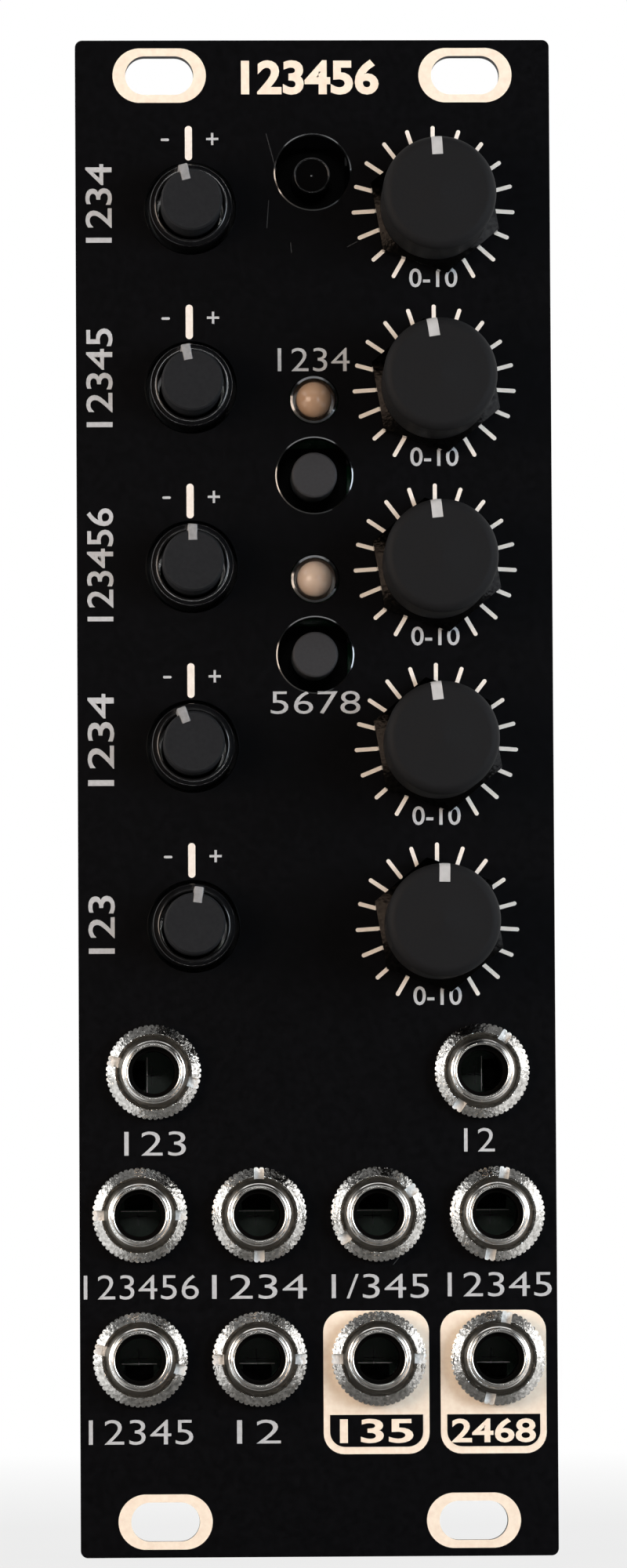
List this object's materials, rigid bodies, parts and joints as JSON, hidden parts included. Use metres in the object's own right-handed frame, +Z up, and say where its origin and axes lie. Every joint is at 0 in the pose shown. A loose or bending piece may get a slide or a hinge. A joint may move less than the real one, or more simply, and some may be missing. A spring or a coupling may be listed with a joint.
{
  "type": "eurorack module",
  "caption": "Slim upright synthesizer module: black panel with a column of small shafts, a column of knobs, buttons and lights between them, and rows of jacks below.",
  "frame": {"origin": "centre of the four rail slots, on the rear face of the front panel", "axes": "+X to the viewer's right, +Y into the case, +Z up; the controls face -Y"},
  "size_m": [0.0404, 0.0467, 0.1284],
  "materials": {
    "black_panel": "black solder mask on glass fibre board",
    "green_board": "green solder mask on glass fibre board",
    "soft_touch": "soft-touch coating",
    "white_pointer": "moulded",
    "grey_shaft": "moulded",
    "black_plastic": "moulded",
    "grey_cap": "moulded",
    "milky_lens": "diffused epoxy",
    "nickel": "bright nickel plate",
    "steel": "tinned sheet",
    "gold_pin": "gold flash",
    "phenolic": "punched laminate",
    "carbon": "printed carbon",
    "brass_thread": "nickel plate",
    "chip_epoxy": "moulded epoxy",
    "can_metal": "drawn can"
  },
  "bodies": {
    "module": {"front_panel": "black_panel", "control_board": "green_board", "main_board": "green_board", "pot_cases": "steel", "pot_bases": "phenolic", "resistor_tracks": "carbon", "pot_terminals": "steel", "pot_bushings": "brass_thread", "trimmer_bushings": "black_plastic", "pot_nuts": "nickel", "switch_housings": "black_plastic", "switch_covers": "steel", "switch_domes": "steel", "switch_pins": "steel", "light_lenses": "milky_lens", "light_leads": "steel", "jack_bushings": "brass_thread", "jack_nuts": "nickel", "jack_housings": "black_plastic", "jack_tip_springs": "steel", "jack_switch_contacts": "steel", "jack_ground_tabs": "steel", "board_sockets": "black_plastic", "header_strips": "black_plastic", "connector_pins": "gold_pin", "board_spacers": "brass_thread", "board_screws": "nickel", "power_header": "black_plastic", "chips": "chip_epoxy", "board_parts": "can_metal"},
    "knob_1_control": {"knob_1": "soft_touch", "knob_1_pointer": "white_pointer", "knob_1_shaft": "grey_shaft"},
    "knob_2_control": {"knob_2": "soft_touch", "knob_2_pointer": "white_pointer", "knob_2_shaft": "grey_shaft"},
    "knob_3_control": {"knob_3": "soft_touch", "knob_3_pointer": "white_pointer", "knob_3_shaft": "grey_shaft"},
    "knob_4_control": {"knob_4": "soft_touch", "knob_4_pointer": "white_pointer", "knob_4_shaft": "grey_shaft"},
    "knob_5_control": {"knob_5": "soft_touch", "knob_5_pointer": "white_pointer", "knob_5_shaft": "grey_shaft"},
    "trimmer_1_control": {"trimmer_1_shaft": "grey_shaft", "trimmer_1_pointer": "white_pointer"},
    "trimmer_2_control": {"trimmer_2_shaft": "grey_shaft", "trimmer_2_pointer": "white_pointer"},
    "trimmer_3_control": {"trimmer_3_shaft": "grey_shaft", "trimmer_3_pointer": "white_pointer"},
    "trimmer_4_control": {"trimmer_4_shaft": "grey_shaft", "trimmer_4_pointer": "white_pointer"},
    "trimmer_5_control": {"trimmer_5_shaft": "grey_shaft", "trimmer_5_pointer": "white_pointer"},
    "recessed_button_key": {"recessed_button_plunger": "black_plastic"},
    "upper_button_key": {"upper_button_plunger": "black_plastic", "upper_button_cap": "grey_cap"},
    "lower_button_key": {"lower_button_plunger": "black_plastic", "lower_button_cap": "grey_cap"}
  },
  "joints": [
    {"name": "knob_1_turn", "type": "hinge", "parent": "module", "child": "knob_1_control", "pos_m": [0.0103, 0, 0.0499], "axis": [0, 1, 0], "range_deg": [-147, 153]},
    {"name": "knob_2_turn", "type": "hinge", "parent": "module", "child": "knob_2_control", "pos_m": [0.0103, 0, 0.03466], "axis": [0, 1, 0], "range_deg": [-141, 159]},
    {"name": "knob_3_turn", "type": "hinge", "parent": "module", "child": "knob_3_control", "pos_m": [0.0103, 0, 0.01942], "axis": [0, 1, 0], "range_deg": [-144, 156]},
    {"name": "knob_4_turn", "type": "hinge", "parent": "module", "child": "knob_4_control", "pos_m": [0.0103, 0, 0.00418], "axis": [0, 1, 0], "range_deg": [-143, 157]},
    {"name": "knob_5_turn", "type": "hinge", "parent": "module", "child": "knob_5_control", "pos_m": [0.0103, 0, -0.01106], "axis": [0, 1, 0], "range_deg": [-151, 149]},
    {"name": "trimmer_1_turn", "type": "hinge", "parent": "module", "child": "trimmer_1_control", "pos_m": [-0.0104, 0, 0.0499], "axis": [0, 1, 0], "range_deg": [-136, 164]},
    {"name": "trimmer_2_turn", "type": "hinge", "parent": "module", "child": "trimmer_2_control", "pos_m": [-0.0104, 0, 0.03466], "axis": [0, 1, 0], "range_deg": [-139, 161]},
    {"name": "trimmer_3_turn", "type": "hinge", "parent": "module", "child": "trimmer_3_control", "pos_m": [-0.0104, 0, 0.01942], "axis": [0, 1, 0], "range_deg": [-149, 151]},
    {"name": "trimmer_4_turn", "type": "hinge", "parent": "module", "child": "trimmer_4_control", "pos_m": [-0.0104, 0, 0.00418], "axis": [0, 1, 0], "range_deg": [-129, 171]},
    {"name": "trimmer_5_turn", "type": "hinge", "parent": "module", "child": "trimmer_5_control", "pos_m": [-0.0104, 0, -0.01106], "axis": [0, 1, 0], "range_deg": [-157, 143]},
    {"name": "recessed_button_press", "type": "slide", "parent": "module", "child": "recessed_button_key", "axis": [0, 1, 0], "range_m": [0, 0.00025], "stiffness_N_per_m": 300, "springref_m": -0.004},
    {"name": "upper_button_press", "type": "slide", "parent": "module", "child": "upper_button_key", "axis": [0, 1, 0], "range_m": [0, 0.00025], "stiffness_N_per_m": 300, "springref_m": -0.004},
    {"name": "lower_button_press", "type": "slide", "parent": "module", "child": "lower_button_key", "axis": [0, 1, 0], "range_m": [0, 0.00025], "stiffness_N_per_m": 300, "springref_m": -0.004}
  ]
}
